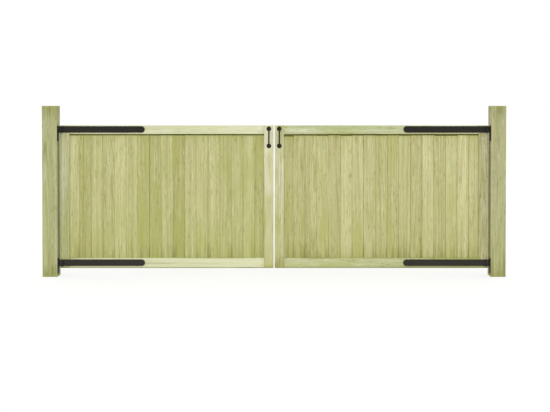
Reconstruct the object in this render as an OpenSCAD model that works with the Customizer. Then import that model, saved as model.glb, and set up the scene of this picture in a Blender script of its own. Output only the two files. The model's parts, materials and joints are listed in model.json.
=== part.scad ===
// A pair of boarded garden gates hung between two square posts.
// Each leaf is a framed gate: two stiles, a top and a bottom rail, a panel of
// upright V-jointed boards set back from the face, and a ledge behind the boards
// at the top and at the bottom. Each leaf turns on two long strap hinges.
//
// Units are millimetres. The origin is at the centre of the left post's foot,
// +X runs along the gateway to the right post, -Y faces the side that carries
// the hinges and handles, and +Z is up.

/* [Leaves] */
// Width of one leaf
leaf_w = 1494; // [900:1:2000]
// Height of one leaf
leaf_h = 1000; // [700:1:1800]
// Thickness of the frame of a leaf
leaf_t = 45; // [40:1:70]
// Clear height between the ground and a leaf
ground_gap = 58; // [40:1:150]
// Gap between a leaf and its post
hinge_gap = 15; // [12:0.5:20]
// Gap between the two leaves
meeting_gap = 8; // [6:0.5:20]
// Set-back of the face of a leaf from the face of its post
leaf_setback = 30; // [28:1:50]

/* [Posts] */
// Width of each face of a post
post_w = 105; // [90:1:150]
// Height of a post above the top of a leaf
post_rise = 137; // [20:1:400]
// Chamfer on the edges of a post
post_arris = 3; // [1:0.5:8]

/* [Frame timbers] */
// Width of the stiles
stile_w = 65; // [55:1:120]
// Height of the top rail
top_rail_h = 60; // [55:1:120]
// Height of the bottom rail
bottom_rail_h = 70; // [62:1:120]
// Chamfer on the long edges of the frame timbers
frame_arris = 2; // [0.5:0.5:4]
// Length of the tenon at each end of a rail
tenon_l = 30; // [20:1:45]
// Height of the tenon at each end of a rail
tenon_h = 36; // [20:1:46]
// Thickness of the tenon at each end of a rail
tenon_t = 15; // [8:1:20]

/* [Boards and ledges] */
// Cover width of one board
board_w = 82; // [60:1:150]
// Thickness of the boards
board_t = 15; // [10:1:18]
// Set-back of the boards from the face of the frame
board_setback = 12; // [6:0.5:14]
// Depth of the V cut between boards, on each face
v_depth = 2.5; // [0.5:0.5:4]
// Depth of the grooves that hold the boards in the stiles and the bottom rail
groove_d = 15; // [6:0.5:18]
// Clearance at the bottom of a groove or a mortise
groove_gap = 0.5; // [0.2:0.1:2]
// Gap between the tops of the boards and the top rail
board_top_gap = 9; // [3:1:20]
// Height of the ledges behind the boards
ledge_h = 60; // [40:1:120]

/* [Strap hinges] */
// Length of a strap over its eye and its round tip
strap_l = 599; // [300:1:800]
// Height of a strap over its two eyes
strap_h = 45; // [30:1:50]
// Distance from the top of a leaf down to its upper strap
top_strap_drop = 5; // [3:1:12]
// Distance from the bottom of a leaf up to its lower strap
bottom_strap_rise = 15; // [3:1:17]
// Thickness of the strap, which is also the wall of its rolled eyes
strap_t = 5; // [3:0.5:6]
// Radius of the hinge pin
pin_r = 8; // [5:0.5:9]
// Radial clearance of the pin in the eye
pin_fit = 0.05; // [0.01:0.01:0.1]
// Distance from the post to the axis of the pin
pin_offset = 22; // [21:0.5:30]
// Length of pin that stands out above and below the eyes
pin_over = 1; // [1:0.5:10]
// Height of the knuckle between the two eyes of a strap
knuckle_h = 15; // [8:1:18]
// Gap between the knuckle and each eye, and between the knuckle and the leaf
knuckle_gap = 0.4; // [0.2:0.1:1]
// Width of the plate that carries a pin
plate_w = 33; // [24:1:33]
// Height of the plate that carries a pin
plate_h = 106; // [90:1:120]
// Thickness of the plate that carries a pin
plate_t = 6; // [3:0.5:7]
// Rise of the upper plate above its strap
top_plate_rise = 4; // [3:1:16]
// Rise of the lower plate above its strap
bottom_plate_rise = 12; // [3:1:16]

/* [Handles] */
// Distance between the two fixings of a handle
handle_span = 120; // [90:1:200]
// Distance from the top of a leaf down to the upper fixing
handle_drop = 23; // [20:1:300]
// Radius of the round end plates of a handle
end_plate_r = 16.5; // [12:0.5:24]
// Thickness of the round end plates of a handle
end_plate_t = 3; // [2:0.5:5]
// Radius of the round bar of a handle
bar_r = 5; // [4:0.5:7]
// Margin of an end plate around the leg that stands on it
leg_margin = 1; // [0.5:0.5:3]
// Radius of the bends of the bar, at its centre
bend_r = 12; // [9:0.5:16]
// Distance that a handle stands out from the leaf
handle_out = 36; // [30:1:60]

/* [Colours] */
// Colour of the posts
post_colour = "#ACAC7D";
// Colour of the frame timbers
frame_colour = "#D1CF9D";
// Colour of the boards
board_colour = "#BFBE83";
// Colour of the ironwork
iron_colour = "#302D2A";

/* [Hidden] */
$fn = 64;

// Levels above the ground
leaf_top = ground_gap + leaf_h;
post_h = leaf_top + post_rise;
bottom_rail_z = ground_gap;
top_rail_z = leaf_top - top_rail_h;

// Levels of the tenons: midway in the top rail, and midway under the groove of the bottom rail
top_tenon_z = top_rail_z + (top_rail_h - tenon_h) / 2;
bottom_tenon_z = bottom_rail_z + (bottom_rail_h - groove_d - tenon_h) / 2;

// Depths, from the face towards the back
face_y = leaf_setback - post_w / 2;
board_y = face_y + board_setback;
ledge_y = board_y + board_t;
ledge_t = leaf_t - board_setback - board_t;
tenon_y = face_y + (leaf_t - tenon_t) / 2;

// Places along the gateway
hinge_x = post_w / 2 + hinge_gap;
meeting_x = hinge_x + leaf_w;
panel_x = hinge_x + stile_w;
panel_w = leaf_w - 2 * stile_w;
post_pitch = 2 * meeting_x + meeting_gap;

// Boards: as many as cover the panel and its grooves, centred, the end ones trimmed
tuck = groove_d - groove_gap;
boards_x = panel_x - tuck;
boards_w = panel_w + 2 * tuck;
board_count = ceil(boards_w / board_w);
board_start = (boards_w - board_count * board_w) / 2;
boards_z = bottom_rail_z + bottom_rail_h - tuck;
boards_h = top_rail_z - board_top_gap - boards_z;

// Hinges
bore_r = pin_r + pin_fit;
eye_r = bore_r + strap_t;
knuckle_r = eye_r - knuckle_gap;
pin_x = post_w / 2 + pin_offset;
pin_y = face_y - eye_r;
strap_tip_x = pin_x - eye_r + strap_l;
top_strap_z = leaf_top - top_strap_drop - strap_h;
bottom_strap_z = bottom_rail_z + bottom_strap_rise;

// Handles
handle_x = meeting_x - stile_w / 2;
handle_z = leaf_top - handle_drop - handle_span / 2;
leg_z = handle_span / 2 - end_plate_r + leg_margin + bar_r;
bar_out = handle_out - bar_r;

// A rectangle with its four corners cut off
module chamfered_rect(w, d, c) {
  polygon([
    [c, 0], [w - c, 0], [w, c], [w, d - c],
    [w - c, d], [c, d], [0, d - c], [0, c]
  ]);
}

// A squared timber that stands upright, with chamfered long edges
module upright(w, d, h, c) {
  linear_extrude(h) chamfered_rect(w, d, c);
}

// A squared timber that lies along X, with chamfered long edges
module lengthwise(l, d, h, c) {
  rotate([90, 0, 90]) linear_extrude(l) chamfered_rect(d, h, c);
}

// Places a piece of the left side on the right side, as its mirror image
module on_right() {
  translate([post_pitch, 0, 0]) mirror([1, 0, 0]) children();
}

// Post, with its top edges chamfered as well
module post() {
  color(post_colour) intersection() {
    translate([-post_w / 2, -post_w / 2, 0]) upright(post_w, post_w, post_h, post_arris);
    for_top_edges();
  }
}

// The two prisms that chamfer the top edges of a post, one across the other
module for_top_edges() {
  intersection() {
    top_prism();
    rotate(90) top_prism();
  }
}

// A post's outline seen from the front, as a prism that runs through its depth
module top_prism() {
  half = post_w / 2;
  rotate([90, 0, 0]) linear_extrude(post_w, center = true) polygon([
    [-half, 0], [half, 0], [half, post_h - post_arris],
    [half - post_arris, post_h], [post_arris - half, post_h], [-half, post_h - post_arris]
  ]);
}

// Mortise for a tenon at the level tenon_z, cut from the edge at edge_x, running
// in the direction dir (1 for +X, -1 for -X)
module mortise(edge_x, dir, tenon_z) {
  depth = tenon_l + groove_gap;
  translate([dir > 0 ? edge_x : edge_x - depth, tenon_y, tenon_z])
    cube([depth, tenon_t, tenon_h]);
}

// Upright of the frame, with its left edge at stile_x, grooved and mortised on
// the edge at edge_x, on the side dir
module stile(stile_x, edge_x, dir) {
  color(frame_colour) difference() {
    translate([stile_x, face_y, ground_gap]) upright(stile_w, leaf_t, leaf_h, frame_arris);
    translate([dir > 0 ? edge_x : edge_x - groove_d, board_y, boards_z])
      cube([groove_d, board_t, boards_h]);
    for (tenon_z = [bottom_tenon_z, top_tenon_z]) mortise(edge_x, dir, tenon_z);
  }
}

module hinge_stile() {
  stile(hinge_x, panel_x, -1);
}

module meeting_stile() {
  stile(meeting_x - stile_w, panel_x + panel_w, 1);
}

// Rail between the stiles, with a tenon at each end
module rail(rail_z, rail_h, tenon_z) {
  translate([panel_x, face_y, rail_z]) lengthwise(panel_w, leaf_t, rail_h, frame_arris);
  translate([panel_x - tenon_l, tenon_y, tenon_z])
    cube([panel_w + 2 * tenon_l, tenon_t, tenon_h]);
}

module top_rail() {
  color(frame_colour) rail(top_rail_z, top_rail_h, top_tenon_z);
}

// Bottom rail, with the groove that the feet of the boards stand in
module bottom_rail() {
  color(frame_colour) difference() {
    rail(bottom_rail_z, bottom_rail_h, bottom_tenon_z);
    translate([panel_x, board_y, bottom_rail_z + bottom_rail_h - groove_d])
      cube([panel_w, board_t, groove_d]);
  }
}

// Panel of upright boards, with a V cut on both faces at each joint
module boards() {
  joints = [for (i = [1 : board_count - 1]) board_start + i * board_w];
  front = [for (x = joints) each [[x - v_depth, 0], [x, v_depth], [x + v_depth, 0]]];
  back = [for (i = [len(front) - 1 : -1 : 0]) [front[i][0], board_t - front[i][1]]];
  color(board_colour) translate([boards_x, board_y, boards_z]) linear_extrude(boards_h)
    polygon(concat([[0, 0]], front, [[boards_w, 0], [boards_w, board_t]], back, [[0, board_t]]));
}

// Ledge behind the boards
module ledge(ledge_z) {
  color(frame_colour) translate([panel_x, ledge_y, ledge_z])
    lengthwise(panel_w, ledge_t, ledge_h, frame_arris);
}

module top_ledge() {
  ledge(top_rail_z - ledge_h);
}

module bottom_ledge() {
  ledge(bottom_rail_z + bottom_rail_h);
}

// Long strap with two rolled eyes at the post end and a round tip
module strap(strap_z) {
  mid_z = strap_z + strap_h / 2;
  notch_h = knuckle_h + 2 * knuckle_gap;
  color(iron_colour) difference() {
    union() {
      translate([pin_x, face_y - strap_t, strap_z])
        cube([strap_tip_x - strap_h / 2 - pin_x, strap_t, strap_h]);
      translate([strap_tip_x - strap_h / 2, face_y, mid_z])
        rotate([90, 0, 0]) cylinder(r = strap_h / 2, h = strap_t);
      translate([pin_x, pin_y, strap_z]) cylinder(r = eye_r, h = strap_h);
    }
    translate([pin_x, pin_y, strap_z - 1]) cylinder(r = bore_r, h = strap_h + 2);
    translate([pin_x - eye_r - 1, pin_y - eye_r - 1, mid_z - notch_h / 2])
      cube([2 * eye_r + 2, 2 * eye_r + 2, notch_h]);
  }
}

module top_strap() {
  strap(top_strap_z);
}

module bottom_strap() {
  strap(bottom_strap_z);
}

// Plate on the post, with the knuckle and the upright pin that carry a strap
module pintle(strap_z, plate_rise) {
  plate_z = strap_z + strap_h + plate_rise - plate_h;
  knuckle_z = strap_z + (strap_h - knuckle_h) / 2;
  color(iron_colour) union() {
    translate([post_w / 2, pin_y - plate_w / 2, plate_z]) cube([plate_t, plate_w, plate_h]);
    translate([post_w / 2, pin_y - pin_r, knuckle_z]) cube([pin_offset, 2 * pin_r, knuckle_h]);
    translate([pin_x, pin_y, knuckle_z]) cylinder(r = knuckle_r, h = knuckle_h);
    translate([pin_x, pin_y, strap_z - pin_over]) cylinder(r = pin_r, h = strap_h + 2 * pin_over);
  }
}

module top_pintle() {
  pintle(top_strap_z, top_plate_rise);
}

module bottom_pintle() {
  pintle(bottom_strap_z, bottom_plate_rise);
}

// Upper half of a handle, about the middle of its length: end plate, leg and bend
module half_handle() {
  translate([0, 0, handle_span / 2]) rotate([90, 0, 0]) cylinder(r = end_plate_r, h = end_plate_t);
  translate([0, 0, leg_z]) rotate([90, 0, 0]) cylinder(r = bar_r, h = bar_out - bend_r);
  translate([0, bend_r - bar_out, leg_z - bend_r]) rotate([180, 0, 0]) rotate([0, 90, 0])
    rotate_extrude(angle = 90) translate([bend_r, 0]) circle(r = bar_r);
}

// Pull handle: a round bar bent to two legs, each on a round end plate
module handle() {
  color(iron_colour) translate([handle_x, face_y, handle_z]) {
    for (end = [0, 1]) mirror([0, 0, end]) half_handle();
    translate([0, -bar_out, bend_r - leg_z]) cylinder(r = bar_r, h = 2 * (leg_z - bend_r));
  }
}

post();  // left_post
on_right() post();  // right_post

top_pintle();  // left_top_pintle
bottom_pintle();  // left_bottom_pintle
on_right() top_pintle();  // right_top_pintle
on_right() bottom_pintle();  // right_bottom_pintle

hinge_stile();  // left_hinge_stile
meeting_stile();  // left_meeting_stile
top_rail();  // left_top_rail
bottom_rail();  // left_bottom_rail
boards();  // left_boards
top_ledge();  // left_top_ledge
bottom_ledge();  // left_bottom_ledge
top_strap();  // left_top_strap
bottom_strap();  // left_bottom_strap
handle();  // left_handle

on_right() hinge_stile();  // right_hinge_stile
on_right() meeting_stile();  // right_meeting_stile
on_right() top_rail();  // right_top_rail
on_right() bottom_rail();  // right_bottom_rail
on_right() boards();  // right_boards
on_right() top_ledge();  // right_top_ledge
on_right() bottom_ledge();  // right_bottom_ledge
on_right() top_strap();  // right_top_strap
on_right() bottom_strap();  // right_bottom_strap
on_right() handle();  // right_handle
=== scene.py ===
"""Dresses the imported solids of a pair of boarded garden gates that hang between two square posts.

Each leaf is two stiles, two rails, a panel of V-jointed boards and two ledges, all planed from treated
softwood. It turns on two long black strap hinges and carries one black pull handle. Every length is in
metres, +X runs along the gateway, -Y is the side with the hinges and handles, and +Z is up.
"""
import json
import math
import random
from functools import partial

import bmesh
import bpy
from bmesh.types import BMFace, BMVert
from bpy.props import FloatProperty, FloatVectorProperty, IntProperty, PointerProperty
from bpy.types import Operator, Panel, PropertyGroup
from mathutils import Matrix, Vector


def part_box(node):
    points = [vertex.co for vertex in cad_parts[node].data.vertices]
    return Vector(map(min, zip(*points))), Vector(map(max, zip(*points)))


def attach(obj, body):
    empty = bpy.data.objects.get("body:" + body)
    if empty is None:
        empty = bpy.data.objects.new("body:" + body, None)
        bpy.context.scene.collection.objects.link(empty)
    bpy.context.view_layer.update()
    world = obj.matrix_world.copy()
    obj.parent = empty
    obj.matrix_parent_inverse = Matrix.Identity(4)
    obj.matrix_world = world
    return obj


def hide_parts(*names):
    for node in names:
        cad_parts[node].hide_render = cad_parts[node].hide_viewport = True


bl_info = {
    "name": "Pair of wooden garden gates",
    "version": (1, 0, 0),
    "blender": (4, 5, 0),
    "location": "View3D > Sidebar > Gates",
    "description": "Builds the timber, the boards and the ironwork of a pair of boarded garden gates",
    "category": "Object",
}

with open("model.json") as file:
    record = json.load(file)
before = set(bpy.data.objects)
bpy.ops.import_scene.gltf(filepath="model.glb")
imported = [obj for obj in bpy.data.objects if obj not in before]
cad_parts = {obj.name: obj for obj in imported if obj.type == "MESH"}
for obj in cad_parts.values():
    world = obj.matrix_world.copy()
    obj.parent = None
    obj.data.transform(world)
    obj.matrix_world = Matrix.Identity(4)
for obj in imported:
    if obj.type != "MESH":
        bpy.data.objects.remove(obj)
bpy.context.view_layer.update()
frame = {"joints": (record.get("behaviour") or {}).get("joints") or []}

X, Y, Z = range(3)
MM = 0.001
# Points closer than this are one point
SAME_POINT = 0.001 * MM
# Ironwork is shaded sharp where its surface turns more than this
SHARP_ANGLE = math.radians(35)
# How a pattern fades between two values
SMOOTHLY = {"interpolation_type": "SMOOTHSTEP"}

# Each leaf, and the way that its straps run from the pins along X
LEAVES = {"left": 1, "right": -1}
LEVELS = ("top", "bottom")
PINS = {joint["child"]: Vector(joint["pos_m"]) for joint in frame["joints"]}
LEAF_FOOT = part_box("left_bottom_rail")[0].z

# Hinges: sizes that the solids' boxes don't show
STRAP_T = 5 * MM
PLATE_T = 6 * MM
PIN_R = 8 * MM
PIN_OVER = 1 * MM
PIN_FIT = 0.05 * MM
PIN_CHAMFER = 1 * MM
KNUCKLE_H = 15 * MM
KNUCKLE_GAP = 0.4 * MM
EYE_R = PIN_R + PIN_FIT
EYE_OUTER_R = EYE_R + STRAP_T
EYE_LIP_GAP = 0.4 * MM

# Handles: the same
END_PLATE_R = 16.5 * MM
END_PLATE_T = 3 * MM
BAR_R = 5 * MM
BEND_R = 12 * MM
LEG_MARGIN = 1 * MM
WELD_RISE = 1 * MM

# Screws: how many hold a strap, and where they stand on the straps, the plates, the handles and the ledges
STRAP_SCREWS = 6
FIRST_STRAP_SCREW = 36 * MM
PLATE_SCREW_RISES = (11 * MM, 37 * MM)
PLATE_SCREW_ASIDE = 8.5 * MM
PLATE_SCREW_SHARE = 0.8
HANDLE_SCREW_OUT = 4 * MM
LEDGE_SCREW_ASIDE = 12 * MM

# Boards: cover width, the tongue that joins each board to the next, and how far a joint strays
COVER = 82 * MM
TONGUE_L = 6 * MM
TONGUE_T = 4.5 * MM
TONGUE_GAP = 0.3 * MM
GROOVE_GAP = 0.5 * MM
JOINT_STRAY = 0.4 * MM

# Joints between boards that have opened as the timber dried, numbered along X, and how much of the full
# gap an open joint and a tight one show
OPEN_JOINTS = {"left": (2, 3, 7, 12), "right": (2, 5, 7, 10, 11, 12, 13, 14, 15, 16)}
OPEN_SHARE, TIGHT_SHARE = (0.7, 1), (0, 0.08)

# Rails: the gap at their shoulders, the shoulder that has opened further, and the chamfer of their tenons
SHOULDER_GAP = 0.4 * MM
OPEN_SHOULDERS = {"right_top_rail": 1.6 * MM}
TENON_CHAMFER = 0.4 * MM

# The sticks of a leaf's frame, and the axis that the grain of each one follows
FRAME_STICKS = {
    "hinge_stile": Z, "meeting_stile": Z, "top_rail": X, "bottom_rail": X, "top_ledge": X, "bottom_ledge": X}

# A stick thicker than this is cut round its pith
BOXED_HEART_T = 90 * MM

# How far apart a log's branches grow: across the log, through it and along it
BRANCH_CELL = (280 * MM, 1600 * MM, 280 * MM)

# Heights between which the timber goes from dry to wet: by the ground and at the feet of the boards. The
# last pair are the heights over which painted shade darkens the lower edge of a leaf, for the shade under
# its arris
GROUND_DAMP = (0.75, 0.05)
FEET_DAMP = (0.27, 0.11)
EDGE_SHADE_HEIGHTS = (LEAF_FOOT + 8 * MM, LEAF_FOOT + 3 * MM)

# How dark rain stains each timber at the feet of the boards, and what is added at their joints; then how
# dark the painted shade is along the lower edge of a leaf, which stands in for the shade under its rounded
# arris
STAINS_AND_EDGE_SHADE = {
    "post_timber": (0.45, 0.0, 0.0),
    "frame_timber": (0.45, 0.0, 0.9),
    "board_timber": (0.58, 0.12, 0.0),
}

# What each stick's mesh tells its material
STOCK_PARTS = ("tone", "green", "rain", "figure", "hue")

# The stock of each stick. First come three numbers for its low end and three for its high end: how pale it
# is there, from -2 for the darkest stock to 1 for the palest, how much of the preservative's olive it shows,
# and how far rain has darkened the tip. Then how strongly its grain shows, and how far its colour turns
# towards green, or with a minus, towards a warm yellow
STOCK = {
    "left_post": ((-0.1, 0.3, 0.35), (-0.1, 0.3, 0.35), 1.0, 0.2),
    "left_hinge_stile": ((-0.8, 0.8, 0.0), (-0.2, 0.0, 0.0), 1.0, 0.2),
    "left_meeting_stile": ((0.4, 1.7, 0.0), (0.9, 1.1, 0.0), 0.7, -0.4),
    "left_top_rail": ((0.3, 0.2, 0.0), (0.8, 0.1, 0.0), 0.5, 0.5),
    "left_bottom_rail": ((0.6, 0.2, 0.0), (1.1, 0.1, 0.0), 0.3, 0.2),
    # Painted shade: the top ledge gets the darkest stock, for the shade in the slot under the top rail
    "left_top_ledge": ((-1.7, 0.0, 0.0), (-1.7, 0.0, 0.0), 0.7, 0.0),
    "left_bottom_ledge": ((0.0, 0.2, 0.0), (0.0, 0.2, 0.0), 1.0, 0.1),
    "right_post": ((-0.1, 0.3, 0.35), (-0.1, 0.3, 0.2), 1.0, 0.1),
    "right_hinge_stile": ((-0.5, 0.3, 0.0), (-0.8, 0.5, 0.0), 1.0, -0.5),
    "right_meeting_stile": ((0.3, 0.6, 0.55), (0.4, 1.9, 0.0), 1.0, -0.4),
    "right_top_rail": ((0.1, 1.1, 0.0), (0.1, 0.7, 0.0), 1.0, 0.9),
    "right_bottom_rail": ((0.4, 0.5, 0.0), (-0.2, 1.0, 0.0), 1.2, 0.3),
    # Painted shade: the top ledge gets the darkest stock, for the shade in the slot under the top rail
    "right_top_ledge": ((-1.9, 0.0, 0.0), (-1.9, 0.0, 0.0), 0.7, 0.0),
    "right_bottom_ledge": ((0.3, 0.1, 0.0), (0.3, 0.1, 0.0), 1.0, 0.1),
}

# The boards of each leaf on the whole: how pale and how olive they are, how far rain has darkened their feet
# and their tops, how strongly their grain shows, how far their colour turns, and the most that one is short
BOARD_LOOK = {
    "left": (0.05, 0.8, 0.06, 0.05, 1.0, 0.0, 1.5 * MM),
    "right": (0.2, 0.5, 0.17, 0.03, 1.05, -0.28, 4 * MM),
}
# How far one board may differ from the rest of its leaf, drawn from the seed
PALE_SPREAD, OLIVE_SPREAD = 0.45, 0.4
# The board that was cut plainly short, numbered along X
CUT_SHORT = {"left": {}, "right": {0: 9 * MM}}

# The stage: half the floor's side, where the main light comes from and how wide it looks, and the camera
FLOOR_HALF = 60
LIGHT_FROM = (-0.15, -1.0, 0.45)
LIGHT_WIDTH = math.radians(40)
CAMERA_AT = (1.572, -7.2425, 1.23)
CAMERA_DROP = 1.2
CAMERA_SHIFT = -0.1518
CAMERA_REACH = 500


def linear(code):
    """Turns an sRGB hex colour into the linear red, green and blue that Blender mixes."""
    parts = [int(code[i:i + 2], 16) / 255 for i in (0, 2, 4)]
    return tuple(c / 12.92 if c <= 0.04045 else ((c + 0.055) / 1.055) ** 2.4 for c in parts)


def colour(name, description, code):
    """A colour that a user can change, with an sRGB hex colour as its default."""
    return FloatVectorProperty(
        name=name, description=description, subtype="COLOR", size=3, min=0, max=1, default=linear(code))


def length(name, description, default, highest):
    """A length that a user can change."""
    return FloatProperty(
        name=name, description=description, subtype="DISTANCE", unit="LENGTH", min=0, max=highest,
        default=default, precision=4)


class GateTimberSettings(PropertyGroup):
    """Sizes and colours of the timber."""

    post_arris: length("Post arris", "Radius of the rounded edges of the posts", 3 * MM, 10 * MM)
    frame_arris: length(
        "Frame arris", "Radius of the rounded edges of the stiles, rails and ledges", 2 * MM, 5 * MM)
    v_cut: length("V cut", "Depth of the V cut between two boards", 2.5 * MM, 4 * MM)
    joint_gap: length("Joint gap", "Gap between two boards where the joint has opened", 1.6 * MM, 3 * MM)
    ring: length("Growth ring", "Distance from one growth ring of the log to the next", 5 * MM, 20 * MM)
    seed: IntProperty(
        name="Stock seed", description="Picks other sticks of timber from the pile", default=4, min=0)
    post_pale: colour("Post, pale", "Pale wood of the posts", "D2D0A6")
    post_dark: colour("Post, dark", "Dark wood of the posts", "8E8F58")
    frame_pale: colour("Frame, pale", "Pale wood of the stiles, rails and ledges", "EEEDC9")
    frame_dark: colour("Frame, dark", "Dark wood of the stiles, rails and ledges", "9A9A62")
    board_pale: colour("Boards, pale", "Pale wood of the boards", "DEDCA7")
    board_dark: colour("Boards, dark", "Dark wood of the boards", "94954C")
    preservative: colour("Preservative", "Olive that the preservative leaves in the wood", "AFB35C")
    # This colour is also the painted shade along the lower edge of a leaf
    damp_and_edge_shade: colour(
        "Damp", "Stain that rain leaves at the feet of the boards and along a leaf's edge", "868748")
    heartwood: colour("Heartwood", "Warmer wood from nearer the heart of the log", "B8A878")
    knot: colour("Knots", "Wood of the knots", "8C8450")


class GateIronSettings(PropertyGroup):
    """Sizes and colours of the ironwork."""

    edge: length("Edge", "Chamfer on the edges of the straps and plates", 0.7 * MM, 2 * MM)
    strap_screw: length(
        "Strap screw", "Diameter of the screw heads on the straps; on the plates it is a fifth less",
        10 * MM, 16 * MM)
    handle_screw: length("Handle screw", "Diameter of the screw heads on the handles", 7.5 * MM, 10 * MM)
    ledge_screw: length("Ledge screw", "Diameter of the screw heads on the ledges", 8 * MM, 12 * MM)
    iron: colour("Powder coat", "Colour of the black powder coat", "2A2823")
    # A pale tint that makes the ironwork lighter towards the ground
    low_tint: colour("Dust", "Dust that lies on the ironwork near the ground", "8A8478")


class GateStageSettings(PropertyGroup):
    """Light, floor and camera."""

    sun: FloatProperty(name="Main light", description="Strength of the main light", default=0.45, min=0)
    sky: FloatProperty(
        name="Fill light", description="Strength of the light from all round", default=0.95, min=0)
    lens: FloatProperty(
        name="Lens", description="Focal length of the camera", subtype="DISTANCE_CAMERA", min=10,
        default=67.58)


# ---------------------------------------- materials

def add_node(tree, kind, inputs=(), output=0, **settings):
    """Adds a node with its settings, and gives back one of its outputs. Each input is a value, or an output
    of another node, which is linked. Inputs without a name are taken in order."""
    made = tree.nodes.new(kind)
    for name, value in settings.items():
        setattr(made, name, value)
    for socket, value in (inputs.items() if isinstance(inputs, dict) else enumerate(inputs)):
        if isinstance(value, bpy.types.NodeSocket):
            tree.links.new(value, made.inputs[socket])
        else:
            made.inputs[socket].default_value = value
    return made.outputs[output] if len(made.outputs) else made


def empty_material(name):
    """A new material with an empty node tree."""
    made = bpy.data.materials.new(name)
    made.use_nodes = True
    made.node_tree.nodes.clear()
    return made


def grain_patterns(add, log):
    """Noise drawn out along the log. Each stretch is how often it changes in a metre: across the log,
    through it and along it."""
    patterns = {}
    for part, stretch, detail in (
            # The log's slow sway, which makes the rings rise in arches
            ("sway", (5, 5, 0.7), 2.0),
            # Streaks 24 mm wide and a metre long
            ("streaks", (42, 42, 1.0), 3.0),
            # Fibres, drawn 8 mm wide, because the real ones are under 1 mm and would not show
            ("fibres", (125, 125, 3.5), 3.0),
            # Resin marks and pale flecks, drawn 8 mm wide and 60 mm long for the same reason
            ("marks", (130, 130, 16), 1.0),
            # Patches of preservative and of warmer heartwood, a hand's width across
            ("patches", (9, 9, 2.2), 2.0),
            ("heart", (14, 14, 1.6), 2.0)):
        place = add("ShaderNodeVectorMath", (log, stretch), operation="MULTIPLY")
        patterns[part] = add(
            "ShaderNodeTexNoise", {"Vector": place, "Scale": 1.0, "Detail": detail, "Roughness": 0.55})
    return patterns


def branches(add, log):
    """The log's branches, one in each cell: the radius of a branch, where it shows as a knot, and where the
    grain flows round it."""
    place = add("ShaderNodeVectorMath", (log, [1 / size for size in BRANCH_CELL]), operation="MULTIPLY")
    branch = add("ShaderNodeTexVoronoi", {"Vector": place, "Scale": 1.0, "Randomness": 1.0}).node.outputs
    offset = add("ShaderNodeVectorMath", (place, branch["Position"]), operation="SUBTRACT")
    # Up to 6 mm in radius, and two in five are too thin to show
    pick = add("ShaderNodeSeparateColor", (branch["Color"],))
    knot_r = add("ShaderNodeMath", (pick, 10 * MM, -4 * MM), operation="MULTIPLY_ADD")
    knot_r = add("ShaderNodeMath", (knot_r, 0.2 * MM), operation="MAXIMUM")
    # How far a point is from the branch, in knot radii: for the knot, and for the grain round it
    around = {}
    for part, along in (("knot", 0.8), ("flow", 0.3)):
        stretch = (BRANCH_CELL[0], 0, BRANCH_CELL[2] * along)
        reach = add("ShaderNodeVectorMath", (offset, stretch), operation="MULTIPLY")
        reach = add("ShaderNodeVectorMath", (reach,), "Value", operation="LENGTH")
        around[part] = add("ShaderNodeMath", (reach, knot_r), operation="DIVIDE")
    knot = add(
        "ShaderNodeMapRange", {"Value": around["knot"], "From Min": 1.4, "From Max": 0.6}, **SMOOTHLY)
    flow = add("ShaderNodeMath", (around["flow"], 2.0), operation="POWER")
    flow = add("ShaderNodeMath", (flow, -0.18), operation="MULTIPLY")
    flow = add("ShaderNodeMath", (flow,), operation="EXPONENT")
    return knot_r, knot, flow


def growth_rings(add, log, sway, knot_r, flow, ring_width):
    """Growth rings about the pith, swayed, and pushed aside by the knots: how deep a point lies in the dark
    summer wood of its ring, and the run of dry or wet years that its ring belongs to."""
    swayed = add(
        "ShaderNodeVectorMath", (sway.node.outputs["Color"], (0.024, 0.024, 0), log),
        operation="MULTIPLY_ADD")
    flat = add("ShaderNodeVectorMath", (swayed, (1, 1, 0)), operation="MULTIPLY")
    from_pith = add("ShaderNodeVectorMath", (flat,), "Value", operation="LENGTH")
    pushed = add("ShaderNodeMath", (knot_r, 1.6), operation="MULTIPLY")
    from_pith = add("ShaderNodeMath", (flow, pushed, from_pith), operation="MULTIPLY_ADD")
    ring = add("ShaderNodeMath", (from_pith, ring_width), operation="DIVIDE")
    ring = add("ShaderNodeMath", (ring,), operation="FRACT")
    # Each ring darkens slowly to its summer wood and ends at a sharp line
    darkens, ends = (
        add("ShaderNodeMapRange", {"Value": ring, "From Min": start, "From Max": stop}, **SMOOTHLY)
        for start, stop in ((0.35, 0.85), (1.0, 0.9)))
    summer = add("ShaderNodeMath", (darkens, ends), operation="MULTIPLY")
    # Runs of years are 17 mm deep, and carry the broad bands that show from a distance
    years = add("ShaderNodeTexNoise", {"W": from_pith, "Scale": 60.0, "Detail": 2.0}, noise_dimensions="1D")
    return summer, years


def wood_depth(add, patterns, summer, years, tone, figure):
    """How dark the wood is at a point, from 0 for its pale colour to 1 for its dark one."""
    marks = patterns["marks"]
    resin, flecks = (
        add("ShaderNodeMapRange", {"Value": marks, "From Min": low, "From Max": high}, **SMOOTHLY)
        for low, high in ((0.60, 0.72), (0.38, 0.28)))
    grain = 0.0
    for part, centre, share in (
            (summer, 0.35, 0.20), (years, 0.5, 0.60), (patterns["streaks"], 0.5, 0.55),
            (patterns["fibres"], 0.5, 0.70), (resin, 0.05, 0.35), (flecks, 0.05, -0.25)):
        centred = add("ShaderNodeMath", (part, centre), operation="SUBTRACT")
        grain = add("ShaderNodeMath", (centred, share, grain), operation="MULTIPLY_ADD")
    depth = add("ShaderNodeMath", (tone, -0.40, 0.5), operation="MULTIPLY_ADD")
    return add("ShaderNodeMath", (grain, figure, depth), operation="MULTIPLY_ADD")


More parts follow.
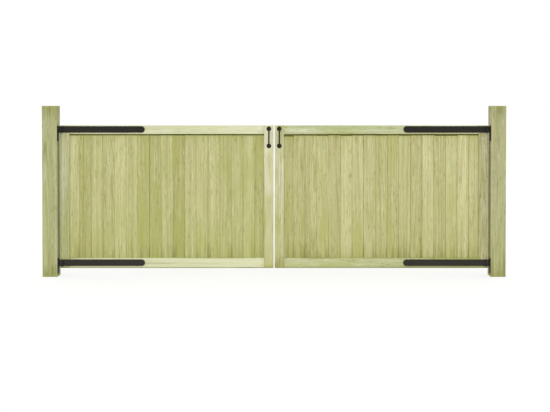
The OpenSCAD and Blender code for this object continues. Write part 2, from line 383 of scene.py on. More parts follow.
def soaked_in(add, patches, height, cut_end, green):
    """How much preservative shows at a point. It lies in patches, and soaks in near the ground and at cut
    ends."""
    patches, ground = (
        add("ShaderNodeMapRange", {"Value": value, "From Min": none, "From Max": most}, **SMOOTHLY)
        for value, (none, most) in ((patches, (0.42, 0.72)), (height, GROUND_DAMP)))
    soaked = 0.0
    for part, always, more in ((patches, 0.10, 0.45), (ground, 0.07, 0.29), (cut_end, 0.25, 0.0)):
        share = add("ShaderNodeMath", (green, more, always), operation="MULTIPLY_ADD")
        soaked = add("ShaderNodeMath", (part, share, soaked), operation="MULTIPLY_ADD", use_clamp=True)
    return soaked


def rain_stain_and_edge_shade(add, slot, streaks, height, aside):
    """How far rain has stained a point, with painted shade along the lower edge of a leaf. Rain stands on
    the bottom rail and stains the feet of the boards, streak by streak and most at their joints, and the
    painted shade darkens the lowest few millimetres of a leaf, for the shade under its rounded lower arris."""
    feet_stain, joint_stain, edge_shade = STAINS_AND_EDGE_SHADE[slot]
    edge = add("ShaderNodeMath", (aside,), operation="ABSOLUTE")
    edge = add("ShaderNodeMath", (edge, 6.0), operation="POWER")
    wick = add("ShaderNodeMath", (edge, joint_stain, streaks), operation="MULTIPLY_ADD")
    feet, runs, edge_shaded = (
        add("ShaderNodeMapRange", {"Value": value, "From Min": dry, "From Max": wet}, **SMOOTHLY)
        for value, (dry, wet) in ((height, FEET_DAMP), (wick, (0.50, 0.66)), (height, EDGE_SHADE_HEIGHTS)))
    darkening = add("ShaderNodeMath", (feet, runs), operation="MULTIPLY")
    darkening = add("ShaderNodeMath", (darkening, feet_stain), operation="MULTIPLY")
    # Painted shade: the lowest few millimetres of a leaf are darkened, for the shade under its rounded lower
    # arris
    return add("ShaderNodeMath", (edge_shaded, edge_shade, darkening), operation="MULTIPLY_ADD")


def treated_softwood(slot, pale, dark, timber):
    """Planed softwood, pressure treated: straight fibres, growth rings that rise in long arches on flat-sawn
    faces, a few small knots, ends darkened by rain, and the olive cast of the preservative, which is
    strongest near the ground and at cut ends."""
    made = empty_material(slot + "_treated_softwood")
    add = partial(add_node, made.node_tree)
    log = add("ShaderNodeAttribute", output="Vector", attribute_name="log")
    stick = add("ShaderNodeAttribute", output="Vector", attribute_name="stick")
    tone, green, rain, figure, hue = (
        add("ShaderNodeAttribute", output="Fac", attribute_name=part) for part in STOCK_PARTS)

    patterns = grain_patterns(add, log)
    knot_r, knot, flow = branches(add, log)
    summer, years = growth_rings(add, log, patterns["sway"], knot_r, flow, timber.ring)
    depth = wood_depth(add, patterns, summer, years, tone, figure)

    # Where the point is: its height, how far it is from the nearer end of its stick, and how far aside
    place = add("ShaderNodeTexCoord", output="Object")
    height = add("ShaderNodeSeparateXYZ", (place,), "Z")
    on_stick = add("ShaderNodeSeparateXYZ", (stick,)).node.outputs
    middle = add("ShaderNodeMath", (on_stick["X"],), operation="ABSOLUTE")
    to_end = add("ShaderNodeMath", (on_stick["Y"], middle), operation="SUBTRACT")
    wet, cut_end = (
        add("ShaderNodeMapRange", {"Value": to_end, "From Min": far, "From Max": 0.0}, **SMOOTHLY)
        for far in (0.13, 0.03))

    # Rain darkens the wood where it soaks into the end grain
    depth = add("ShaderNodeMath", (wet, rain, depth), operation="MULTIPLY_ADD")
    # The wettest stock and the deepest marks go past the dark colour
    wood = add(
        "ShaderNodeMix", {0: depth, 6: (*pale, 1), 7: (*dark, 1)}, 2, data_type="RGBA", clamp_factor=False)
    # Each layer over the wood's own colour: how much of it shows, and its colour
    warm = add("ShaderNodeMapRange", {
        "Value": patterns["heart"], "From Min": 0.50, "From Max": 0.75, "To Max": 0.3}, **SMOOTHLY)
    soaked = soaked_in(add, patterns["patches"], height, cut_end, green)
    # Rain stains, and painted shade along the lower edge of a leaf
    darkening = rain_stain_and_edge_shade(add, slot, patterns["streaks"], height, on_stick["Z"])
    knotted = add("ShaderNodeMath", (knot, 0.45), operation="MULTIPLY")
    for share, tint in (
            (warm, timber.heartwood), (soaked, timber.preservative), (darkening, timber.damp_and_edge_shade),
            (knotted, timber.knot)):
        wood = add("ShaderNodeMix", {0: share, 6: wood, 7: (*tint, 1)}, 2, data_type="RGBA")
    # The copper in the preservative turns some sticks a few degrees greener, and light turns others warmer
    turn = add("ShaderNodeMath", (hue, 0.02, 0.5), operation="MULTIPLY_ADD")
    wood = add("ShaderNodeHueSaturation", {"Hue": turn, "Color": wood})

    # Planing leaves the harder summer wood and the fibres a little proud
    relief = add("ShaderNodeMath", (patterns["fibres"], 0.6), operation="MULTIPLY")
    relief = add("ShaderNodeMath", (summer, 0.4, relief), operation="MULTIPLY_ADD")
    bump = add("ShaderNodeBump", {"Strength": 0.5, "Distance": 0.4 * MM, "Height": relief})
    rough = add("ShaderNodeMath", (patterns["fibres"], 0.2, 0.6), operation="MULTIPLY_ADD")
    surface = add("ShaderNodeBsdfPrincipled", {
        "Base Color": wood, "Roughness": rough, "IOR": 1.5, "Specular IOR Level": 0.3, "Normal": bump})
    add("ShaderNodeOutputMaterial", {"Surface": surface})
    return made


def black_powder_coat(iron):
    """Mild steel with a baked black powder coat: matt, with the faint orange peel of the melted powder, and
    a pale tint mixed in that makes the pieces near the ground lighter."""
    name = "black_powder_coat"
    made = bpy.data.materials.get(name)
    if made:
        return made
    made = empty_material(name)
    add = partial(add_node, made.node_tree)
    place = add("ShaderNodeTexCoord", output="Object")
    # Orange peel has waves of about 2 mm
    peel = add("ShaderNodeTexNoise", {"Vector": place, "Scale": 500.0, "Detail": 2.0})
    # Handling wears the sheen in patches of about 60 mm
    wear = add("ShaderNodeTexNoise", {"Vector": place, "Scale": 16.0, "Detail": 3.0})
    rough = add("ShaderNodeMath", (wear, 0.18, 0.38), operation="MULTIPLY_ADD")
    fresh, worn = ((*(part * share for part in iron.iron), 1) for share in (0.75, 1.3))
    coat = add("ShaderNodeMix", {0: wear, 6: fresh, 7: worn}, 2, data_type="RGBA")
    # The ironwork turns paler towards the ground
    height = add("ShaderNodeSeparateXYZ", (place,), "Z")
    near_ground = add("ShaderNodeMapRange", {"Value": height, "From Min": 0.6, "From Max": 0.1, "To Max": 0.06})
    coat = add("ShaderNodeMix", {0: near_ground, 6: coat, 7: (*iron.low_tint, 1)}, 2, data_type="RGBA")
    bump = add("ShaderNodeBump", {"Strength": 0.35, "Distance": 0.1 * MM, "Height": peel})
    surface = add("ShaderNodeBsdfPrincipled", {
        "Base Color": coat, "Roughness": rough, "IOR": 1.5, "Specular IOR Level": 0.1, "Normal": bump})
    add("ShaderNodeOutputMaterial", {"Surface": surface})
    return made


def seen_directly(add):
    """1 where the camera, a reflection or a clear pane looks straight at a surface, 0 where it only lights
    others."""
    path = add("ShaderNodeLightPath").node.outputs
    glossy, clear = path["Is Glossy Ray"], path["Is Transmission Ray"]
    mirrored = add("ShaderNodeMath", (glossy, clear), operation="MAXIMUM")
    return add("ShaderNodeMath", (path["Is Camera Ray"], mirrored), operation="MAXIMUM")


# ---------------------------------------- pieces

def new_mesh(wooden=False):
    """An empty bmesh. A wooden one carries the attributes that its material reads at each point."""
    bm = bmesh.new()
    if wooden:
        for name in ("log", "stick"):
            bm.verts.layers.float_vector.new(name)
        for name in STOCK_PARTS:
            bm.verts.layers.float.new(name)
    return bm


def place_piece(bm, name, body, material, stands_for=()):
    """Makes a bmesh a piece of the scene that rides on a body and stands for its CAD nodes."""
    bmesh.ops.recalc_face_normals(bm, faces=bm.faces[:])
    mesh = bpy.data.meshes.new(name)
    bm.to_mesh(mesh)
    bm.free()
    mesh.materials.append(material)
    piece = bpy.data.objects.new(name, mesh)
    bpy.context.scene.collection.objects.link(piece)
    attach(piece, body)
    if stands_for:
        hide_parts(*stands_for)
    return piece


def iron_piece(context, bm, name, body, stands_for=()):
    """Makes a bmesh a piece of ironwork, shaded smooth where it is turned or bent and sharp at its edges."""
    material = black_powder_coat(context.scene.gate_iron)
    piece = place_piece(bm, name, body, material, stands_for)
    for face in piece.data.polygons:
        face.use_smooth = True
    piece.data.set_sharp_from_angle(angle=SHARP_ANGLE)


def only(kind, parts):
    """The points, or the faces, among the parts that a bmesh operator gives back."""
    return [part for part in parts if isinstance(part, kind)]


def drawn_out(bm, faces, reach):
    """Extrudes faces along a vector, and gives back all that is new."""
    made = bmesh.ops.extrude_face_region(bm, geom=faces)["geom"]
    bmesh.ops.translate(bm, vec=reach, verts=only(BMVert, made))
    return made


def chamfered(bm, edges, width):
    """Cuts a flat chamfer along edges."""
    bmesh.ops.bevel(
        bm, geom=edges, offset=width, offset_type="OFFSET", segments=1, profile=0.5, affect="EDGES",
        material=-1)


def give_grain(bm, verts, low, high, grain, stock, draw):
    """Writes where each point of a stick lay in its log, with the log's pith along the grain, and the
    stick's stock."""
    log, stick = (bm.verts.layers.float_vector[name] for name in ("log", "stick"))
    layers = [bm.verts.layers.float[name] for name in STOCK_PARTS]
    low_end, high_end, *whole = stock
    middle, half = (low + high) / 2, (high - low)[grain] / 2
    across, through = (X, Y) if grain == Z else (Z, Y)
    # A thin stick comes from the side of the log
    pith = (draw.uniform(-0.02, 0.02), draw.uniform(-0.02, 0.02)) if (high - low)[Y] > BOXED_HEART_T else (
        draw.uniform(-0.12, 0.12), draw.choice((-1, 1)) * draw.uniform(0.04, 0.09))
    lean = draw.uniform(-0.02, 0.02), draw.uniform(-0.02, 0.02)
    along = draw.uniform(0, 30)
    for vert in verts:
        at = vert.co - middle
        vert[log] = (
            at[across] + pith[0] + lean[0] * at[grain], at[through] + pith[1] + lean[1] * at[grain],
            at[grain] + along)
        vert[stick] = (at[grain], half, 2 * at[across] / (high - low)[across])
        share = (at[grain] / half + 1) / 2
        changing = [start + (stop - start) * share for start, stop in zip(low_end, high_end)]
        for layer, value in zip(layers, changing + whole):
            vert[layer] = value


def plough(bm, low, high, reach):
    """Sinks a groove into a timber: the part of its surface inside a box is pushed in by reach."""
    sunk = max(range(3), key=lambda axis: abs(reach[axis]))
    flat = {X, Y, Z} - {sunk}
    for axis in flat:
        for level in (low[axis], high[axis]):
            point, normal = Vector(), Vector()
            point[axis], normal[axis] = level, 1
            bmesh.ops.bisect_plane(
                bm, geom=bm.verts[:] + bm.edges[:] + bm.faces[:], plane_co=point, plane_no=normal,
                dist=SAME_POINT)
    bm.normal_update()
    mouth = []
    for face in bm.faces:
        at = face.calc_center_median()
        if face.normal.dot(reach) < 0 and all(low[axis] < at[axis] < high[axis] for axis in flat):
            mouth.append(face)
    drawn_out(bm, mouth, reach)


def squared_timber(bm, low, high, grain, arris, trench=None, groove=None):
    """A planed stick between two corners, with rounded edges. A trench is a groove that runs the whole
    length of the top and has sharp lips, and a groove is one that stops short of both ends."""
    across, up = (axis for axis in (X, Y, Z) if axis != grain)
    section = [(low[across], low[up]), (high[across], low[up]), (high[across], high[up])]
    if trench:
        near, far, deep = trench
        section += [(far, high[up]), (far, high[up] - deep), (near, high[up] - deep), (near, high[up])]
    section.append((low[across], high[up]))
    corners = []
    for side, height in section:
        at = low.copy()
        at[across], at[up] = side, height
        corners.append(bm.verts.new(at))
    reach = Vector()
    reach[grain] = (high - low)[grain]
    drawn_out(bm, [bm.faces.new(corners)], reach)
    bmesh.ops.recalc_face_normals(bm, faces=bm.faces[:])
    if groove:
        plough(bm, *groove)

    def lies_at(edge, axis, *levels):
        return all(min(abs(v.co[axis] - level) for level in levels) < SAME_POINT for v in edge.verts)

    def rounded(edge):
        on_sides = [lies_at(edge, axis, low[axis], high[axis]) for axis in (across, up)]
        on_end = lies_at(edge, grain, low[grain]) or lies_at(edge, grain, high[grain])
        # Ploughing splits the edges round the ends, which leaves points that are on one pair of sides only
        return all(on_sides) or (groove and on_end and any(on_sides))

    made = bmesh.ops.bevel(
        bm, geom=[edge for edge in bm.edges if rounded(edge)], offset=arris, offset_type="OFFSET",
        segments=3, profile=0.5, affect="EDGES", material=-1, clamp_overlap=True)
    for face in made["faces"]:
        face.smooth = True


def matchboard(bm, low, high, v_cut, tongue, groove):
    """A board with V cuts on its edges; tongue and groove say if its right and left edges are worked to
    join."""
    middle = (low.y + high.y) / 2
    half_tongue, half_groove = TONGUE_T / 2, TONGUE_T / 2 + TONGUE_GAP
    left_cut, right_cut = v_cut if groove else 0, v_cut if tongue else 0
    outline = [(low.x + left_cut, low.y), (high.x - right_cut, low.y)]
    if tongue:
        outline += [
            (high.x, low.y + v_cut), (high.x, middle - half_tongue),
            (high.x + TONGUE_L, middle - half_tongue), (high.x + TONGUE_L, middle + half_tongue),
            (high.x, middle + half_tongue), (high.x, high.y - v_cut)]
    outline += [(high.x - right_cut, high.y), (low.x + left_cut, high.y)]
    if groove:
        bottom = low.x + TONGUE_L + 2 * TONGUE_GAP
        outline += [
            (low.x, high.y - v_cut), (low.x, middle + half_groove), (bottom, middle + half_groove),
            (bottom, middle - half_groove), (low.x, middle - half_groove), (low.x, low.y + v_cut)]
    foot = bm.faces.new([bm.verts.new((x, y, low.z)) for x, y in outline])
    top = only(BMVert, drawn_out(bm, [foot], (0, 0, high.z - low.z)))
    return list(foot.verts) + top


def turned(bm, outline, place, steps=32, socket_r=0):
    """Turns an outline of (radius, height) points about Z and sets it down by a matrix. A ring of points at
    socket_r is drawn into the six lobes of a screw's socket."""
    known = set(bm.verts)
    verts = [bm.verts.new((r, 0, h)) for r, h in outline]
    edges = [bm.edges.new(pair) for pair in zip(verts, verts[1:])]
    bmesh.ops.spin(
        bm, geom=verts + edges, cent=(0, 0, 0), axis=(0, 0, 1), angle=math.tau, steps=steps, use_merge=True)
    bmesh.ops.remove_doubles(bm, verts=[v for v in bm.verts if v not in known], dist=SAME_POINT)
    made = [v for v in bm.verts if v not in known]
    for vert in made:
        if socket_r and abs(math.hypot(vert.co.x, vert.co.y) - socket_r) < SAME_POINT:
            lobe = 1 + 0.22 * math.cos(6 * math.atan2(vert.co.y, vert.co.x))
            vert.co.x, vert.co.y = vert.co.x * lobe, vert.co.y * lobe
    bmesh.ops.transform(bm, matrix=place, verts=made)


def drum(r, low, high, chamfer):
    """The outline of a round bar between two heights, with chamfered ends."""
    return [
        (0, low), (r - chamfer, low), (r, low + chamfer), (r, high - chamfer), (r - chamfer, high),
        (0, high)]


def block(bm, low, high, chamfer):
    """A block between two corners with chamfered edges."""
    known = set(bm.verts)
    made = bmesh.ops.create_cube(bm, size=1)["verts"]
    bmesh.ops.scale(bm, vec=high - low, verts=made)
    bmesh.ops.translate(bm, vec=(low + high) / 2, verts=made)
    chamfered(bm, [edge for edge in bm.edges if edge.verts[0] not in known], chamfer)


def screw_head(bm, at, outward, width):
    """A raised countersunk screw head with a six-lobed socket, on the face that looks outward."""
    r, socket_r = width / 2, width * 0.17
    rise, sunk = width * 0.08, -width * 0.1
    outline = [
        (0, sunk), (socket_r, sunk), (socket_r, rise), (r * 0.62, rise * 0.85), (r * 0.88, rise * 0.4),
        (r, 0), (r * 0.9, -width * 0.08), (r * 0.35, -width * 0.3), (0, -width * 0.3)]
    place = Matrix.Translation(at) @ outward.to_track_quat("Z", "Y").to_matrix().to_4x4()
    turned(bm, outline, place, steps=24, socket_r=socket_r)


def screws_piece(context, name, body, places, outward, width):
    """Makes one piece of several screw heads that all look the same way."""
    bm = new_mesh()
    for at in places:
        screw_head(bm, Vector(at), Vector(outward), width)
    iron_piece(context, bm, name, body)


def strap_bar(bm, tip, low_z, high_z, back_y, edge):
    """The flat of a strap, seen along Y: a bar with a round tip, and a notch at the pin for the knuckle. X
    is the distance from the pin."""
    r, mid = (high_z - low_z) / 2, (low_z + high_z) / 2
    # The round of the knuckle is this wide where it passes the front of the strap
    notch_w = math.sqrt(EYE_OUTER_R ** 2 - EYE_R ** 2)
    notch_h = KNUCKLE_H / 2 + KNUCKLE_GAP
    front_y = back_y - STRAP_T
    start = bm.verts.new((tip - r, front_y, low_z))
    arc = bmesh.ops.spin(
        bm, geom=[start], cent=(tip - r, front_y, mid), axis=(0, -1, 0), angle=math.pi,
        steps=28)["geom_last"]
    heel = [*only(BMVert, arc), *[bm.verts.new((x, front_y, z)) for x, z in (
        (0, high_z), (0, mid + notch_h), (notch_w, mid + notch_h), (notch_w, mid - notch_h),
        (0, mid - notch_h), (0, low_z))], start]
    for pair in zip(heel, heel[1:]):
        bm.edges.new(pair)
    bmesh.ops.contextual_create(bm, geom=bm.verts[:] + bm.edges[:])
    outline = bm.edges[:]
    drawn_out(bm, bm.faces[:], (0, STRAP_T, 0))
    chamfered(bm, outline, edge)


def rolled_eye(bm, pin_y, low_z, high_z):
    """One eye of a strap: its end rolled round the pin from the back of the strap until it meets the front
    again."""
    known = set(bm.faces)
    lip = [bm.verts.new((0, pin_y + r, low_z)) for r in (EYE_R, EYE_OUTER_R)]
    edge = bm.edges.new(lip)
    # The roll stops where its outer side would meet the front of the strap
    closing = math.asin((EYE_OUTER_R - STRAP_T - EYE_LIP_GAP) / EYE_OUTER_R)
    bmesh.ops.spin(
        bm, geom=[*lip, edge], cent=(0, pin_y, low_z), axis=(0, 0, 1), angle=1.5 * math.pi + closing,
        steps=36)
    drawn_out(bm, [face for face in bm.faces if face not in known], (0, 0, high_z - low_z))


def pintle(bm, post_face, low, high, pin_y, strap_low, strap_high, edge):
    """The plate on the side of a post, with the lug, the knuckle and the pin that a strap turns on. X is the
    distance from the pin."""
    mid = (strap_low + strap_high) / 2
    knuckle_low, knuckle_high = mid - KNUCKLE_H / 2, mid + KNUCKLE_H / 2
    block(bm, Vector((post_face, low.y, low.z)), Vector((post_face + PLATE_T, high.y, high.z)), edge)
    block(
        bm, Vector((post_face + PLATE_T / 2, pin_y - PIN_R, knuckle_low)),
        Vector((0, pin_y + PIN_R, knuckle_high)), edge)
    axis = Matrix.Translation((0, pin_y, 0))
    turned(bm, drum(EYE_OUTER_R - KNUCKLE_GAP, knuckle_low, knuckle_high, edge), axis)
    turned(bm, drum(PIN_R, strap_low - PIN_OVER, strap_high + PIN_OVER, PIN_CHAMFER), axis)


def to_side(bm, pin_x, way):
    """Moves a mesh drawn as distances from the pin to its place, on the left or the right side."""
    place = Matrix.Translation((pin_x, 0, 0)) @ Matrix.Diagonal((way, 1, 1, 1))
    bmesh.ops.transform(bm, matrix=place, verts=bm.verts)


def bent(bm, tip, centre):
    """Bends the tip of a bar down through a quarter turn, and gives back its new tip."""
    made = bmesh.ops.spin(bm, geom=tip, cent=centre, axis=(1, 0, 0), angle=math.pi / 2, steps=10)
    return only(BMFace, made["geom_last"])


def handle_bar(bm, x, mid, leg, face_y, bar_y):
    """The round bar of a handle: a leg out from its top plate, down, and a leg back to its lower plate."""
    foot_y = face_y - END_PLATE_T / 2
    place = Matrix.Translation((x, foot_y, mid + leg)) @ Matrix.Rotation(math.pi / 2, 4, "X")
    bmesh.ops.create_circle(bm, cap_ends=True, radius=BAR_R, segments=24, matrix=place)
    leg_out = Vector((0, bar_y + BEND_R - foot_y, 0))
    tip = only(BMFace, drawn_out(bm, bm.faces[:], leg_out))
    tip = bent(bm, tip, (x, bar_y + BEND_R, mid + leg - BEND_R))
    tip = only(BMFace, drawn_out(bm, tip, Vector((0, 0, -2 * (leg - BEND_R)))))
    tip = bent(bm, tip, (x, bar_y + BEND_R, mid - leg + BEND_R))
    drawn_out(bm, tip, -leg_out)


def handle_end(bm, x, face_y, plate_z, leg_z):
    """A round end plate of a handle, and the weld bead where a leg stands on it."""
    outward = Matrix.Rotation(math.pi / 2, 4, "X")
    rim = END_PLATE_T * 0.45
    turned(bm, [
        (0, 0), (END_PLATE_R, 0), (END_PLATE_R, END_PLATE_T - rim),
        (END_PLATE_R - rim * 0.6, END_PLATE_T - rim * 0.3), (END_PLATE_R - rim * 1.5, END_PLATE_T),
        (0, END_PLATE_T)], Matrix.Translation((x, face_y, plate_z)) @ outward, steps=48)
    turned(bm, [
        (0, END_PLATE_T / 2), (BAR_R + 0.8 * MM, END_PLATE_T / 2), (BAR_R + 0.7 * MM, END_PLATE_T),
        (BAR_R + 0.1 * MM, END_PLATE_T + WELD_RISE), (0, END_PLATE_T + WELD_RISE)],
        Matrix.Translation((x, face_y, leg_z)) @ outward, steps=24)


def board_panel(side):
    """The corners of a leaf's panel, how many boards cover it, and where the first of them would start."""
    low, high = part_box(f"{side}_boards")
    count = math.ceil((high.x - low.x) / COVER)
    return low, high, count, (low.x + high.x - count * COVER) / 2


def stick_piece(seed, node, body, material, grain, arris, shoulders=None, trench=None, groove=None):
    """Cuts one stick of timber to the box of its CAD node. Between shoulders, it has a tenon in the middle
    third of its thickness that reaches out to the ends of the box."""
    low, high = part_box(node)
    bm = new_mesh(wooden=True)
    if shoulders:
        third, quarter = (high.y - low.y) / 3, (high.z - low.z) / 4
        tenon_low = Vector((low.x, low.y + third, low.z + quarter))
        tenon_high = Vector((high.x, high.y - third, high.z - 2 * quarter))
        low.x, high.x = shoulders
    squared_timber(bm, low, high, grain, arris, trench, groove)
    if shoulders:
        block(bm, tenon_low, tenon_high, TENON_CHAMFER)
    give_grain(bm, bm.verts, low, high, grain, STOCK[node], random.Random(f"{seed} {node}"))
    place_piece(bm, node + "_planed", body, material, [node])


# ---------------------------------------- operators

class GATES_OT_posts(Operator):
    """Cut the two square posts, with rounded edges"""

    bl_idname = "gates.posts"
    bl_label = "Posts"

    def execute(self, context):
        timber = context.scene.gate_timber
        material = treated_softwood("post_timber", timber.post_pale, timber.post_dark, timber)
        for side in LEAVES:
            stick_piece(timber.seed, f"{side}_post", "posts", material, Z, timber.post_arris)
        return {"FINISHED"}


class GATES_OT_frames(Operator):
    """Cut the stiles, rails and ledges of both leaves, with the grooves that hold the boards"""

    bl_idname = "gates.frames"
    bl_label = "Frames"

    def execute(self, context):
        timber = context.scene.gate_timber
        material = treated_softwood("frame_timber", timber.frame_pale, timber.frame_dark, timber)
        for side, way in LEAVES.items():
            low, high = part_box(f"{side}_boards")
            between = [corner.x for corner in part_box(f"{side}_top_ledge")]
            sunk = high.x - between[1] + GROOVE_GAP
            grooves = {
                "hinge_stile": (low, high, Vector((-way * sunk, 0, 0))),
                "meeting_stile": (low, high, Vector((way * sunk, 0, 0))),
            }
            trenches = {"bottom_rail": (low.y, high.y, sunk)}
            for name, grain in FRAME_STICKS.items():
                node = f"{side}_{name}"
                gap = OPEN_SHOULDERS.get(node, SHOULDER_GAP)
                shoulders = (between[0] + gap, between[1] - SHOULDER_GAP) if name.endswith("rail") else None
                stick_piece(
                    timber.seed, node, f"{side}_leaf", material, grain, timber.frame_arris,
                    shoulders, trenches.get(name), grooves.get(name))
        return {"FINISHED"}


class GATES_OT_boards(Operator):
    """Fill both leaves with tongued and grooved boards, each from its own stick"""

    bl_idname = "gates.boards"
    bl_label = "Boards"

    def execute(self, context):
        timber = context.scene.gate_timber
        material = treated_softwood("board_timber", timber.board_pale, timber.board_dark, timber)
        for side in LEAVES:
            low, high, count, start = board_panel(side)
            draw = random.Random(f"{timber.seed} {side} boards")
            joints = [(low.x, 0)]
            for i in range(1, count):
                at = start + i * COVER + draw.uniform(-JOINT_STRAY, JOINT_STRAY)
                share = draw.uniform(*(OPEN_SHARE if i in OPEN_JOINTS[side] else TIGHT_SHARE))
                joints.append((at, timber.joint_gap * share))
            joints.append((high.x, 0))
            pale, olive, *rain, figure, hue, most_short = BOARD_LOOK[side]
            bm = new_mesh(wooden=True)
            for i, ((left, left_gap), (right, right_gap)) in enumerate(zip(joints, joints[1:])):
                look = (
                    pale + draw.uniform(-PALE_SPREAD, PALE_SPREAD),
                    olive + draw.uniform(-OLIVE_SPREAD, OLIVE_SPREAD))
                short = CUT_SHORT[side].get(i, draw.uniform(0, most_short))
                board_low = Vector((left + left_gap / 2, low.y, low.z))
                board_high = Vector((right - right_gap / 2, high.y, high.z - short))
                verts = matchboard(bm, board_low, board_high, timber.v_cut, i < count - 1, i > 0)
                ends = [(*look, end_rain) for end_rain in rain]
                give_grain(bm, verts, board_low, board_high, Z, (*ends, figure, hue), draw)
            name, node = f"{side}_matchboards", f"{side}_boards"
            place_piece(bm, name, f"{side}_leaf", material, [node])
        return {"FINISHED"}


class GATES_OT_straps(Operator):
    """Forge the four straps, with their rolled eyes, round tips and screws"""

    bl_idname = "gates.straps"
    bl_label = "Strap hinges"

    def execute(self, context):
        iron = context.scene.gate_iron
        for side, way in LEAVES.items():
            body = f"{side}_leaf"
            pin = PINS[body]
            for level in LEVELS:
                node = f"{side}_{level}_strap"
                low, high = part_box(node)
                tip = high.x - pin.x if way > 0 else pin.x - low.x
                eye_h = (high.z - low.z) / 2 - KNUCKLE_H / 2 - KNUCKLE_GAP
                bm = new_mesh()
                strap_bar(bm, tip, low.z, high.z, high.y, iron.edge)
                for eye_low in (low.z, high.z - eye_h):
                    rolled_eye(bm, pin.y, eye_low, eye_low + eye_h)
                to_side(bm, pin.x, way)
                iron_piece(context, bm, node + "_forged", body, [node])

                # The last screw stands in the middle of the round tip
                first, last = FIRST_STRAP_SCREW, tip - (high.z - low.z) / 2
                places = [
                    (pin.x + way * (first + (last - first) * i / (STRAP_SCREWS - 1)), high.y - STRAP_T,
                     (low.z + high.z) / 2)
                    for i in range(STRAP_SCREWS)]
                screws_piece(context, node + "_screws", body, places, (0, -1, 0), iron.strap_screw)
        return {"FINISHED"}


class GATES_OT_pintles(Operator):
    """Forge the four plates on the posts, with their knuckles, pins and screws"""

    bl_idname = "gates.pintles"
    bl_label = "Pintles"

    def execute(self, context):
        iron = context.scene.gate_iron
        for side, way in LEAVES.items():
            pin = PINS[f"{side}_leaf"]
            for level in LEVELS:
                node = f"{side}_{level}_pintle"
                low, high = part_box(node)
                strap_low, strap_high = (corner.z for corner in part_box(f"{side}_{level}_strap"))
                post_face = low.x - pin.x if way > 0 else pin.x - high.x
                bm = new_mesh()
                pintle(bm, post_face, low, high, pin.y, strap_low, strap_high, iron.edge)
                to_side(bm, pin.x, way)
                iron_piece(context, bm, node + "_forged", "posts", [node])

                places = [
                    (pin.x + way * (post_face + PLATE_T), pin.y + aside, low.z + rise)
                    for rise in PLATE_SCREW_RISES for aside in (-PLATE_SCREW_ASIDE, PLATE_SCREW_ASIDE)]
                screws_piece(
                    context, node + "_screws", "posts", places, (way, 0, 0),
                    iron.strap_screw * PLATE_SCREW_SHARE)
        return {"FINISHED"}


class GATES_OT_handles(Operator):
    """Bend the two pull handles from round bar and set them on their end plates"""

    bl_idname = "gates.handles"
    bl_label = "Handles"

    def execute(self, context):
        for side in LEAVES:
            body, node = f"{side}_leaf", f"{side}_handle"
            low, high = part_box(node)
            x, mid, face_y = (low.x + high.x) / 2, (low.z + high.z) / 2, high.y
            half_span = (high.z - low.z) / 2 - END_PLATE_R
            leg = half_span - END_PLATE_R + LEG_MARGIN + BAR_R
            bm = new_mesh()
            handle_bar(bm, x, mid, leg, face_y, low.y + BAR_R)
            for end in (-1, 1):
                handle_end(bm, x, face_y, mid + end * half_span, mid + end * leg)
            iron_piece(context, bm, node + "_forged", body, [node])

            places = [
                (x, face_y - END_PLATE_T, mid + end * (half_span + HANDLE_SCREW_OUT)) for end in (-1, 1)]
            screws_piece(
                context, node + "_screws", body, places, (0, -1, 0), context.scene.gate_iron.handle_screw)
        return {"FINISHED"}


class GATES_OT_ledge_screws(Operator):
    """Drive a screw through each ledge into each board, from the back"""

    bl_idname = "gates.ledge_screws"
    bl_label = "Ledge screws"

    def execute(self, context):
        for side in LEAVES:
            count, start = board_panel(side)[2:]
            places = []
            for level in LEVELS:
                low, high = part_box(f"{side}_{level}_ledge")
                # The row runs in a zigzag
                places += [
                    (start + (i + 0.5) * COVER, high.y, (low.z + high.z) / 2 + (-1) ** i * LEDGE_SCREW_ASIDE)
                    for i in range(count)]
            screws_piece(
                context, f"{side}_ledge_screws", f"{side}_leaf", places, (0, 1, 0),
                context.scene.gate_iron.ledge_screw)
        return {"FINISHED"}


def lay_floor(scene):
    """Lays a floor of white paper: it lights the gates as plain paper does, and is seen white with a faint
    shadow."""
    bm = bmesh.new()
    bmesh.ops.create_grid(bm, x_segments=1, y_segments=1, size=FLOOR_HALF)
    mesh = bpy.data.meshes.new("floor")
    bm.to_mesh(mesh)
    bm.free()
    floor = bpy.data.objects.new("floor", mesh)
    scene.collection.objects.link(floor)
    paper = empty_material("white_paper")
    add = partial(add_node, paper.node_tree)
    lit = add("ShaderNodeBsdfDiffuse", {"Color": (*linear("E7E7E7"), 1)})
    # Where it is seen, most of its white is its own, so the shadow on it stays faint
    shaded = add("ShaderNodeBsdfDiffuse", {"Color": (*linear("999998"), 1)})
    glow = add("ShaderNodeEmission", {"Color": (*linear("FFFFFF"), 1), "Strength": 0.72})
    shown = add("ShaderNodeAddShader", (shaded, glow))
    both = add("ShaderNodeMixShader", (seen_directly(add), lit, shown))
    add("ShaderNodeOutputMaterial", {"Surface": both})
    mesh.materials.append(paper)


def light_evenly(scene, stage):
    """Sets an even light from all round, white wherever the camera or a reflection sees it, and a wide main
    light."""
    world = bpy.data.worlds.new("studio")
    world.use_nodes = True
    world.node_tree.nodes.clear()
    add = partial(add_node, world.node_tree)
    strength = add("ShaderNodeMix", {0: seen_directly(add), 2: stage.sky, 3: 1.0}, data_type="FLOAT")
    sky = add("ShaderNodeBackground", {"Color": (*linear("FFFFFF"), 1), "Strength": strength})
    add("ShaderNodeOutputWorld", {"Surface": sky})
    scene.world = world

    lamp = bpy.data.lights.new("main_light", "SUN")
    lamp.energy = stage.sun
    lamp.angle = LIGHT_WIDTH
    sun = bpy.data.objects.new("main_light", lamp)
    sun.rotation_euler = Vector(LIGHT_FROM).to_track_quat("Z", "Y").to_euler()
    scene.collection.objects.link(sun)


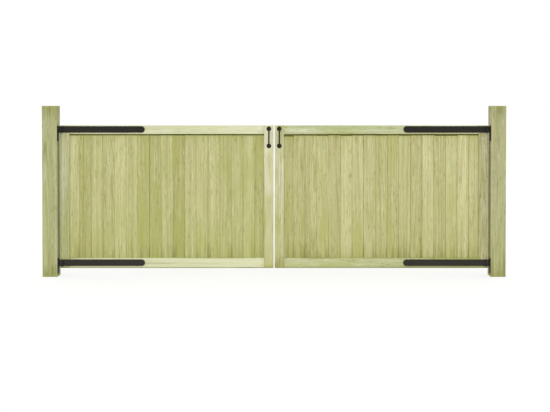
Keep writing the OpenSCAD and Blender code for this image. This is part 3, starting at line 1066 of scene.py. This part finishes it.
def set_camera(scene, stage):
    """Sets the camera straight in front of the gates, tipped down a little."""
    lens = bpy.data.cameras.new("camera")
    lens.lens = stage.lens
    lens.shift_y = CAMERA_SHIFT
    lens.clip_end = CAMERA_REACH
    camera = bpy.data.objects.new("camera", lens)
    camera.location = CAMERA_AT
    camera.rotation_euler = (math.radians(90 - CAMERA_DROP), 0, 0)
    scene.collection.objects.link(camera)
    scene.camera = camera
    scene.view_settings.view_transform = "Standard"


class GATES_OT_stage(Operator):
    """Lay a plain white floor, light it evenly and set the camera"""

    bl_idname = "gates.stage"
    bl_label = "Stage"

    def execute(self, context):
        scene = context.scene
        lay_floor(scene)
        light_evenly(scene, scene.gate_stage)
        set_camera(scene, scene.gate_stage)
        return {"FINISHED"}


# Where the scene keeps each group of settings, and the steps in the order that builds the gates
SETTINGS = {
    "gate_timber": GateTimberSettings, "gate_iron": GateIronSettings, "gate_stage": GateStageSettings}
STEPS = (
    GATES_OT_stage, GATES_OT_posts, GATES_OT_frames, GATES_OT_boards, GATES_OT_straps, GATES_OT_pintles,
    GATES_OT_handles, GATES_OT_ledge_screws,
)


class GATES_PT_build(Panel):
    """The sizes, the colours and the steps that build the gates"""

    bl_idname = "GATES_PT_build"
    bl_label = "Garden gates"
    bl_space_type = "VIEW_3D"
    bl_region_type = "UI"
    bl_category = "Gates"

    def draw(self, context):
        for group, kind in SETTINGS.items():
            box = self.layout.box()
            for name in kind.__annotations__:
                box.prop(getattr(context.scene, group), name)
        for step in STEPS:
            self.layout.operator(step.bl_idname)


CLASSES = (*SETTINGS.values(), *STEPS, GATES_PT_build)


def register():
    for kind in CLASSES:
        bpy.utils.register_class(kind)
    for name, kind in SETTINGS.items():
        setattr(bpy.types.Scene, name, PointerProperty(type=kind))


def unregister():
    for name in SETTINGS:
        delattr(bpy.types.Scene, name)
    for kind in reversed(CLASSES):
        bpy.utils.unregister_class(kind)


def main():
    """Builds everything in order."""
    register()
    bpy.ops.gates.stage()
    bpy.ops.gates.posts()
    bpy.ops.gates.frames()
    bpy.ops.gates.boards()
    bpy.ops.gates.straps()
    bpy.ops.gates.pintles()
    bpy.ops.gates.handles()
    bpy.ops.gates.ledge_screws()


if __name__ == "__main__":
    main()
